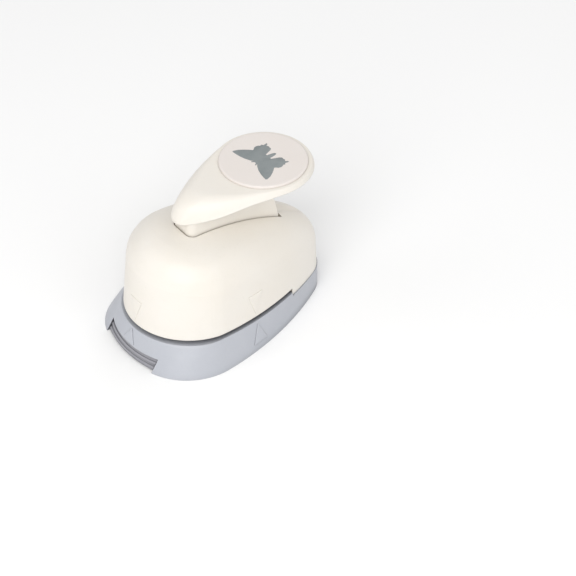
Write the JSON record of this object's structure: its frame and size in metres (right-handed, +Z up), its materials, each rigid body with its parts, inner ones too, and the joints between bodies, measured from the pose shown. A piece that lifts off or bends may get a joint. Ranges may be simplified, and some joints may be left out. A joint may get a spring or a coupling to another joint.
{
  "type": "craft paper punch",
  "caption": "Desktop lever punch that cuts a butterfly out of paper or card: domed cover, hinged thumb lever with a round pad, steel die set and a hinged catch tray.",
  "frame": {"origin": "on the table, under the middle of the base's outline box", "axes": "+Z up, +Y towards the thumb pad and the round narrow back end, -Y towards the wide front with the paper mouth, +X to the right seen from the back"},
  "size_m": [0.0624, 0.087, 0.0633],
  "materials": {
    "white_plastic": "satin moulded warm white",
    "pad_plastic": "satin moulded, faintly pink white",
    "grey_plastic": "satin moulded light bluish grey",
    "dark_grey_plastic": "matt moulded grey",
    "plate_steel": "ground and lightly oiled",
    "bracket_steel": "zinc plated pressing",
    "spring_steel": "drawn wire",
    "screw_steel": "zinc plated"
  },
  "bodies": {
    "frame": {"base_housing": "grey_plastic", "base_screws": "screw_steel", "cover_screws_rear": "screw_steel", "cover_screws_front": "screw_steel", "die_plate": "plate_steel", "guide_plate": "plate_steel", "die_screws": "screw_steel", "die_spacer": "plate_steel", "pivot_bracket": "bracket_steel", "bracket_screws": "screw_steel", "pivot_pin": "screw_steel", "pivot_clips": "spring_steel", "guide_posts": "screw_steel", "return_spring_left": "spring_steel", "return_spring_right": "spring_steel", "top_cover": "white_plastic", "tray_hinge_pin": "screw_steel"},
    "lever": {"lever_handle": "white_plastic", "thumb_pad": "pad_plastic", "press_pin": "screw_steel"},
    "punch": {"punch_carrier": "bracket_steel", "punch_block": "plate_steel", "punch_screws": "screw_steel"},
    "tray": {"catch_tray": "dark_grey_plastic"}
  },
  "joints": [
    {"name": "lever_hinge", "type": "hinge", "parent": "frame", "child": "lever", "pos_m": [0, -0.0184, 0.034], "axis": [-1, 0, 0], "range_deg": [0, 20], "stiffness_Nm_per_rad": 0.6, "springref_deg": -8.59},
    {"name": "punch_slide", "type": "slide", "parent": "frame", "child": "punch", "axis": [0, 0, -1], "range_m": [0, 0.00643], "deforming": ["return_spring_left", "return_spring_right"]},
    {"name": "tray_hinge", "type": "hinge", "parent": "frame", "child": "tray", "pos_m": [0, 0.0301, 0.0029], "axis": [1, 0, 0], "range_deg": [0, 60]}
  ],
  "couplings": [
    {"joint": "punch_slide", "follows": "lever_hinge", "m_per_rad": 0.018406}
  ]
}
